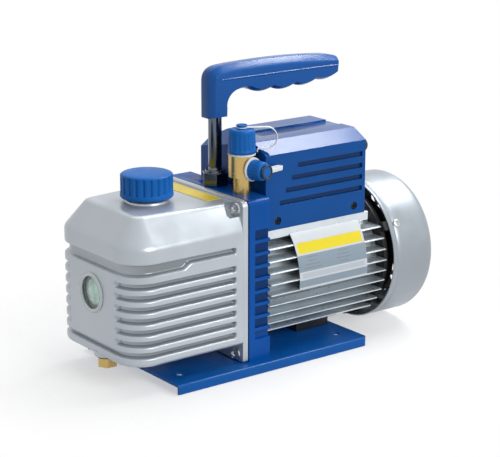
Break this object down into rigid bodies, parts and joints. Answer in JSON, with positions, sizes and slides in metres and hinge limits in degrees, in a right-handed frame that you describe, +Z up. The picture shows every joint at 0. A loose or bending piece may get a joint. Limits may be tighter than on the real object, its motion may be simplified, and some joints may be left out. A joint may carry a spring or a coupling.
{
  "type": "rotary vane vacuum pump",
  "caption": "Two-stage rotary vane vacuum pump with ribbed oil case, sight glass, finned motor, control box and carrying handle.",
  "frame": {"origin": "middle of the object's footprint box, on the surface that the base channel stands on", "axes": "+X from the sight glass towards the fan cowl, +Y to the left of that, +Z up"},
  "size_m": [0.322, 0.138, 0.25],
  "materials": {
    "base_blue": "gloss",
    "case_silver": "satin cast",
    "bracket_blue": "gloss",
    "zinc_steel": "satin",
    "dark_steel": "satin",
    "gasket": "matte",
    "bezel": "polished",
    "sight_glass": "clear",
    "brass": "satin",
    "cap_blue": "gloss",
    "filter": "matte",
    "pump_iron": "ground",
    "rotor_steel": "ground",
    "vane": "matte",
    "motor_aluminium": "satin",
    "laminations": "satin",
    "copper": "varnished",
    "shield_black": "satin",
    "fan_plastic": "matte",
    "cowl_silver": "satin",
    "box_blue": "gloss",
    "capacitor": "matte",
    "black_plastic": "satin",
    "rocker": "gloss",
    "post_chrome": "polished",
    "grip_blue": "gloss",
    "strap_white": "translucent",
    "plate_silver": "satin",
    "label_yellow": "satin"
  },
  "bodies": {
    "root": {"base_plate": "base_blue", "base_screws": "zinc_steel", "bearing_outer_rings": "rotor_steel", "box_screws": "dark_steel", "case_gasket": "gasket", "case_screws": "zinc_steel", "caution_label": "label_yellow", "centre_plate": "pump_iron", "control_box": "box_blue", "cord_gland": "black_plastic", "cowl_screws": "zinc_steel", "end_shield": "shield_black", "exhaust_filter": "filter", "exhaust_reed": "rotor_steel", "fan_cowl": "cowl_silver", "front_plate": "pump_iron", "grip_half_left": "grip_blue", "grip_half_right": "grip_blue", "handle_nut": "post_chrome", "handle_post": "post_chrome", "inlet_fitting": "brass", "motor_frame": "motor_aluminium", "oil_case": "case_silver", "pump_bolts": "zinc_steel", "pump_bracket": "bracket_blue", "rating_plate": "plate_silver", "reed_stop": "rotor_steel", "run_capacitor": "capacitor", "shaft_seal": "gasket", "sight_glass_bezel": "bezel", "sight_glass_lens": "sight_glass", "sight_glass_seal": "gasket", "stage_1_stator": "pump_iron", "stage_2_stator": "pump_iron", "stator_core": "laminations", "stator_windings": "copper", "switch_housing": "black_plastic", "tether_rings": "strap_white", "tie_bolts": "zinc_steel"},
    "pump_rotor": {"motor_shaft": "rotor_steel", "rotor_1": "rotor_steel", "rotor_2": "rotor_steel", "vane_springs": "rotor_steel", "rotor_core": "laminations", "bearing_inner_rings": "rotor_steel", "cooling_fan": "fan_plastic"},
    "bearing_cage": {"bearing_balls": "rotor_steel"},
    "vane_1a_body": {"vane_1a": "vane"},
    "vane_1b_body": {"vane_1b": "vane"},
    "vane_2a_body": {"vane_2a": "vane"},
    "vane_2b_body": {"vane_2b": "vane"},
    "exhaust_cap_lift": {"exhaust_cap_seal": "gasket"},
    "exhaust_cap_turn": {"exhaust_cap": "cap_blue"},
    "top_cap_lift": {"top_cap_tether": "strap_white"},
    "top_cap_turn": {"top_port_cap": "cap_blue"},
    "side_cap_lift": {"side_cap_tether": "strap_white"},
    "side_cap_turn": {"side_port_cap": "cap_blue"},
    "drain_lift": {"drain_washer": "gasket"},
    "drain_turn": {"drain_plug": "brass"},
    "rocker_body": {"switch_rocker": "rocker"}
  },
  "joints": [
    {"name": "rotor_spin", "type": "hinge", "parent": "root", "child": "pump_rotor", "pos_m": [0, 0, 0.0686], "axis": [1, 0, 0], "continuous": true},
    {"name": "bearing_roll", "type": "hinge", "parent": "root", "child": "bearing_cage", "pos_m": [0, 0, 0.0686], "axis": [1, 0, 0], "continuous": true},
    {"name": "vane_1a_slide", "type": "slide", "parent": "pump_rotor", "child": "vane_1a_body", "axis": [0, -1, 0], "range_m": [0, 0.0032]},
    {"name": "vane_1b_slide", "type": "slide", "parent": "pump_rotor", "child": "vane_1b_body", "axis": [0, 1, 0], "range_m": [0, 0.0032]},
    {"name": "vane_2a_slide", "type": "slide", "parent": "pump_rotor", "child": "vane_2a_body", "axis": [0, -1, 0], "range_m": [0, 0.0032]},
    {"name": "vane_2b_slide", "type": "slide", "parent": "pump_rotor", "child": "vane_2b_body", "axis": [0, 1, 0], "range_m": [0, 0.0032]},
    {"name": "exhaust_cap_rise", "type": "slide", "parent": "root", "child": "exhaust_cap_lift", "axis": [0, 0, 1], "range_m": [0, 0.012]},
    {"name": "exhaust_cap_unscrew", "type": "hinge", "parent": "exhaust_cap_lift", "child": "exhaust_cap_turn", "pos_m": [-0.104, 0, 0.15], "axis": [0, 0, 1], "range_deg": [0, 1446]},
    {"name": "top_cap_rise", "type": "slide", "parent": "root", "child": "top_cap_lift", "axis": [0, 0, 1], "range_m": [0, 0.01016]},
    {"name": "top_cap_unscrew", "type": "hinge", "parent": "top_cap_lift", "child": "top_cap_turn", "pos_m": [-0.03, -0.031, 0.182], "axis": [0, 0, 1], "range_deg": [0, 1446]},
    {"name": "side_cap_rise", "type": "slide", "parent": "root", "child": "side_cap_lift", "axis": [0.1908, -0.9816, 0], "range_m": [0, 0.01016]},
    {"name": "side_cap_unscrew", "type": "hinge", "parent": "side_cap_lift", "child": "side_cap_turn", "pos_m": [-0.03, -0.031, 0.1683], "axis": [0.1908, -0.9816, 0], "range_deg": [0, 1446]},
    {"name": "drain_rise", "type": "slide", "parent": "root", "child": "drain_lift", "axis": [0, 0, -1], "range_m": [0, 0.009]},
    {"name": "drain_unscrew", "type": "hinge", "parent": "drain_lift", "child": "drain_turn", "pos_m": [-0.1485, -0.005, 0.02], "axis": [0, 0, -1], "range_deg": [0, 2166]},
    {"name": "switch_tilt", "type": "hinge", "parent": "root", "child": "rocker_body", "pos_m": [0.0924, 0.014, 0.15], "axis": [0, 1, 0], "range_deg": [0, 20]}
  ],
  "couplings": [
    {"joint": "bearing_roll", "follows": "rotor_spin", "ratio": 0.384},
    {"joint": "exhaust_cap_unscrew", "follows": "exhaust_cap_rise", "rad_per_m": 2094.4},
    {"joint": "top_cap_unscrew", "follows": "top_cap_rise", "rad_per_m": 2473.7},
    {"joint": "side_cap_unscrew", "follows": "side_cap_rise", "rad_per_m": 2473.7},
    {"joint": "drain_unscrew", "follows": "drain_rise", "rad_per_m": 4188.8}
  ]
}
